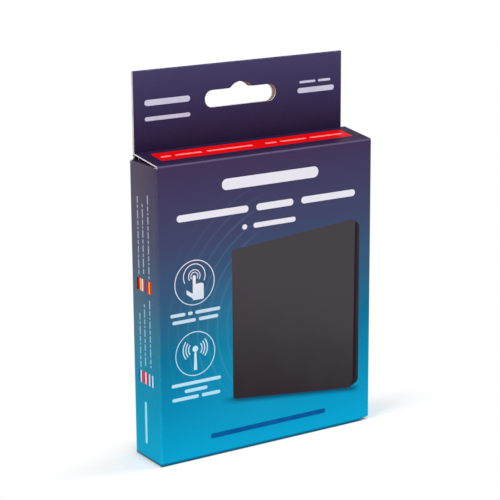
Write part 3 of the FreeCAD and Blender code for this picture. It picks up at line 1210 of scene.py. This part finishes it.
sideColumns = {
    "places": [-4.0, -0.5, 3.4],  # across the panel, from the back edge to the front
    "upper": [(100.1, 70.6), (97.9, 70.6), (101.7, 70.6)],
    "lower": [(56.3, 35.4), (60.4, 35.4), (62.7, 35.4)],
    "wide": 0.65,
    "words": [2.6, 1.3, 3.4, 1.9, 0.9, 2.9, 1.6],
    "space": 0.55,
    "shortest": 1.0,
    "fieldHigh": 4.6,
    "fieldHalf": 1.6,
    "fieldLevels": [67.4, 32.0],
    "mark": (6.3, 22.7, -1.0, 1.5),  # lower end, upper end, place across and width
    "inks": [(14.0, (160, 232, 249)), (45.0, (146, 200, 222)), (95.0, (178, 174, 198))],
    "mottle": 20.0,
}
goldInk = inkFinish("goldInk", (238, 190, 60), (226, 170, 48))
darkInk = inkFinish("darkInk", (70, 30, 30), (56, 22, 24))
fieldInks = [redInk, whiteInk, goldInk, blueInk, darkInk]
fieldStripes = [  # ink numbers from left to right
    [(4, 0, 2), (1, 0, 3), (0, 2, 0)],
    [(3, 1, 0), (0, 1, 0), (1, 3, 1)],
]


def drawSideColumns():
    look = sideColumns
    piece = startDrawing("sideColumns", fadingInk("sideInk", look["inks"], look["mottle"]))
    for ends in (look["upper"], look["lower"]):
        for number, (across, (top, low)) in enumerate(zip(look["places"], ends)):
            word = number
            while top > low + look["shortest"]:
                length = min(look["words"][word % len(look["words"])], top - low)
                drawBar(across - look["wide"] / 2, across + look["wide"] / 2, top - length / 2, length)
                top -= length + look["space"]
                word += 1
    low, high, across, wide = look["mark"]
    drawBar(across - wide / 2, across + wide / 2, (low + high) / 2, high - low)
    layOn(piece, "left")


def drawSideFields():
    look = sideColumns
    piece = startDrawing("sideFields", *fieldInks)
    for level, row in zip(look["fieldLevels"], fieldStripes):
        for across, stripes in zip(look["places"], row):
            step = 2 * look["fieldHalf"] / len(stripes)
            for number, ink in enumerate(stripes):
                left = across - look["fieldHalf"] + number * step
                drawField(left, level - look["fieldHigh"] / 2, left + step, level + look["fieldHigh"] / 2)
                layAside(ink)
    layOn(piece, "left")


drawSideColumns()
drawSideFields()
print("side panel drawn")


# Camera, floor and light

cameraView = {
    "azimuth": -32.75,
    "elevation": 14.455,
    "roll": -0.37,
    "distance": 670.2,
    "target": (-1.887, 0.0, 74.26),
    "lens": 128.53,
    "sensor": 36.0,
    "clipEnd": 50.0,
}


def wayFrom(azimuth, elevation):
    # unit way from the carton, by the compass of the views
    around, above = math.radians(azimuth), math.radians(elevation)
    flat = math.cos(above)
    return Vector((math.sin(around) * flat, -math.cos(around) * flat, math.sin(above)))


def placeCamera():
    back = wayFrom(cameraView["azimuth"], cameraView["elevation"])
    place = Vector(cameraView["target"]) + back * cameraView["distance"]
    bpy.ops.object.camera_add(location=place * mm)
    camera = bpy.context.object
    camera.name = "frontCamera"
    camera.rotation_mode = "QUATERNION"
    roll = Quaternion((0, 0, 1), math.radians(cameraView["roll"]))
    camera.rotation_quaternion = (-back).to_track_quat("-Z", "Y") @ roll
    camera.data.lens = cameraView["lens"]
    camera.data.sensor_width = cameraView["sensor"]
    camera.data.clip_end = cameraView["clipEnd"]
    bpy.context.scene.camera = camera


studio = {
    "floorSize": 6.0,
    "floorColour": 0.8,
    "floorWhite": 1.0,  # what the camera sees it as near the carton
    "whiteMiddle": (0.0, -12.0),  # away from here, less so sideways, it is painted plain white over the shade there
    "whiteReach": (5 / 3, 5 / 8),
    "whiteFrom": (38.0, 66.0),
    "frontFrom": (-8.9, -9.8),  # as it is in front, painted white over the shade at the foot
    "ambient": 0.4,
    "lamps": [  # name, azimuth, elevation, distance in metres, size, power
        ("leftLamp", -78, 40, 1.3, 0.65, 6.95),
        ("rightLamp", 80, 40, 1.4, 0.65, 6.6),
        ("frontLamp", -10, 45, 1.6, 1.2, 11.4),
    ],
}


def whiteToView(owner):
    # 1 for what the camera sees, straight or in a gloss
    rays = owner.node_tree.nodes.new("ShaderNodeLightPath").outputs
    seen = rays["Is Camera Ray"]
    for name in ("Is Glossy Ray", "Is Transmission Ray"):
        seen = calc("MAXIMUM", seen, rays[name])
    return seen


def layFloor():
    bpy.ops.mesh.primitive_plane_add(size=studio["floorSize"], location=(0, 0, 0))
    floor = bpy.context.object
    floor.name = "floor"
    finish, shader, place = newFinish("paleFloor", 0.0)
    x, y = splitAxes(place)[:2]
    # painted white over the floor's shade, away from the carton and in front of it
    farOff = fade(ringSpread(x, y, studio["whiteMiddle"], studio["whiteReach"]), *studio["whiteFrom"])
    paintedWhite = calc("MAXIMUM", farOff, fade(y, *studio["frontFrom"]))
    seen = whiteToView(finish)
    nodes = finish.node_tree.nodes
    kinds = ("BsdfDiffuse", "Emission", "MixShader")
    matt, glow, mix = [nodes.new("ShaderNode" + kind) for kind in kinds]
    wire(fade(seen, 0.0, 1.0, studio["floorColour"], studio["floorWhite"]), matt.inputs["Color"])
    for value, socket in zip((product(seen, paintedWhite), matt.outputs[0], glow.outputs[0]), mix.inputs):
        wire(value, socket)
    wire(mix.outputs[0], nodes["Material Output"].inputs["Surface"])
    nodes.remove(shader)
    floor.data.materials.append(finish)


def lightStudio():
    world = bpy.data.worlds.new("whiteRoom")
    world.use_nodes = True
    bpy.context.scene.world = world
    sky = world.node_tree.nodes["Background"]
    sky.inputs["Color"].default_value = (1, 1, 1, 1)
    wire(fade(whiteToView(world), 0.0, 1.0, studio["ambient"]), sky.inputs["Strength"])
    aim = Vector(cameraView["target"]) * mm
    for name, azimuth, elevation, distance, size, power in studio["lamps"]:
        way = wayFrom(azimuth, elevation)
        bpy.ops.object.light_add(type="AREA", location=aim + way * distance)
        lamp = bpy.context.object
        lamp.name = name
        lamp.rotation_euler = way.to_track_quat("Z", "Y").to_euler()
        lamp.data.size = size
        lamp.data.energy = power


deselectAll()
placeCamera()
layFloor()
lightStudio()
bpy.context.scene.view_settings.view_transform = "Standard"
print("camera, floor and light placed")
